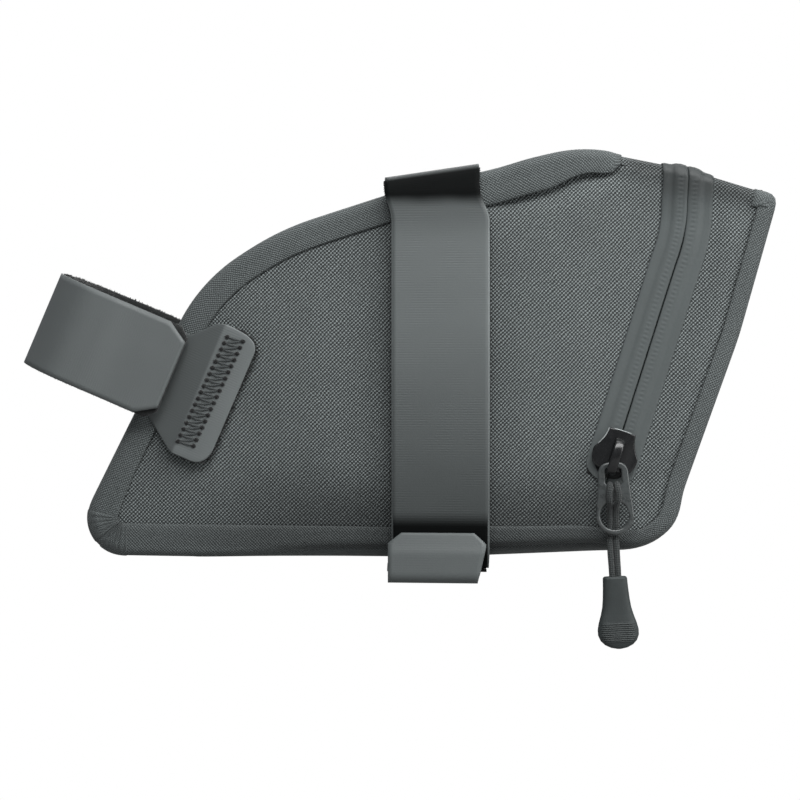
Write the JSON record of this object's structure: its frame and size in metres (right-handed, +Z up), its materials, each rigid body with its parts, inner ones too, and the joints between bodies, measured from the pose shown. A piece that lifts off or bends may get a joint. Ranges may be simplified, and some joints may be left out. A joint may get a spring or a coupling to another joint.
{
  "type": "bicycle saddle bag",
  "caption": "Wedge-shaped under-saddle bag with a zipped rear lid, a wide strap over the saddle rails and a strap round the seatpost.",
  "frame": {"origin": "middle of the rail strap's inner face, where the saddle rails carry the bag", "axes": "+X to the rear of the bicycle, -Y to its left side (the side with the zip pull), +Z up"},
  "size_m": [0.1879, 0.0916, 0.1242],
  "materials": {
    "shell_fabric": "coarse woven laminate, matte",
    "zip_film": "satin water-resistant film",
    "zip_coil": "matte",
    "slider_metal": "gloss black",
    "pull_cord": "braided cord",
    "grip_rubber": "matte moulded",
    "strap_film": "satin laminated strap",
    "strap_pile": "fuzzy loop pile",
    "strap_hook": "hook tape",
    "thread": "sewing thread",
    "stiffener_board": "matte sheet"
  },
  "bodies": {
    "bag": {"gusset_body": "shell_fabric", "side_panel_left": "shell_fabric", "side_panel_right": "shell_fabric", "top_panel": "shell_fabric", "corner_fold_left": "shell_fabric", "corner_fold_right": "shell_fabric", "base_stiffener": "stiffener_board", "zip_tape_body": "zip_film", "zip_coil_body": "zip_coil", "zip_stop_left": "slider_metal", "zip_stop_right": "slider_metal", "rail_strap": "strap_film", "rail_strap_pile": "strap_pile", "rail_strap_hook": "strap_hook", "post_strap": "strap_film", "post_strap_pile": "strap_pile", "post_anchor_hook": "strap_hook", "post_anchor_left": "strap_film", "post_anchor_right": "strap_film", "anchor_stitch_left": "thread", "anchor_stitch_right": "thread"},
    "lid": {"lid_gusset": "shell_fabric", "lid_panel": "shell_fabric", "zip_tape_lid": "zip_film", "zip_coil_lid": "zip_coil"},
    "slider": {"slider_body": "slider_metal", "slider_bridge": "slider_metal"},
    "puller": {"pull_tab": "slider_metal", "cord_hitch": "pull_cord"},
    "cord": {"pull_cord": "pull_cord", "cord_grip": "grip_rubber"},
    "rail_tab": {"rail_strap_tab": "strap_film", "rail_tab_pile": "strap_pile"},
    "post_tab": {"post_strap_tab": "strap_film", "post_tab_pile": "strap_pile"}
  },
  "joints": [
    {"name": "lid_hinge", "type": "hinge", "parent": "bag", "child": "lid", "pos_m": [0.0617, 0, -0.079], "axis": [0, 1, 0], "range_deg": [0, 40]},
    {"name": "slider_run", "type": "slide", "parent": "bag", "child": "slider", "axis": [0.3025, 0, 0.9532], "range_m": [0, 0.045]},
    {"name": "pull_swing", "type": "hinge", "parent": "slider", "child": "puller", "pos_m": [0.04367, -0.04485, -0.07164], "axis": [-1, 0, 0], "range_deg": [0, 115]},
    {"name": "cord_swing", "type": "hinge", "parent": "puller", "child": "cord", "pos_m": [0.0443, -0.04315, -0.08602], "axis": [0, 1, 0], "range_deg": [-30, 30]},
    {"name": "rail_tab_peel", "type": "hinge", "parent": "bag", "child": "rail_tab", "pos_m": [0, -0.008, -0.1013], "axis": [1, 0, 0], "range_deg": [0, 100]},
    {"name": "post_tab_peel", "type": "hinge", "parent": "bag", "child": "post_tab", "pos_m": [-0.08203, -0.02959, -0.04329], "axis": [-0.3907, 0, -0.9205], "range_deg": [0, 100]}
  ]
}
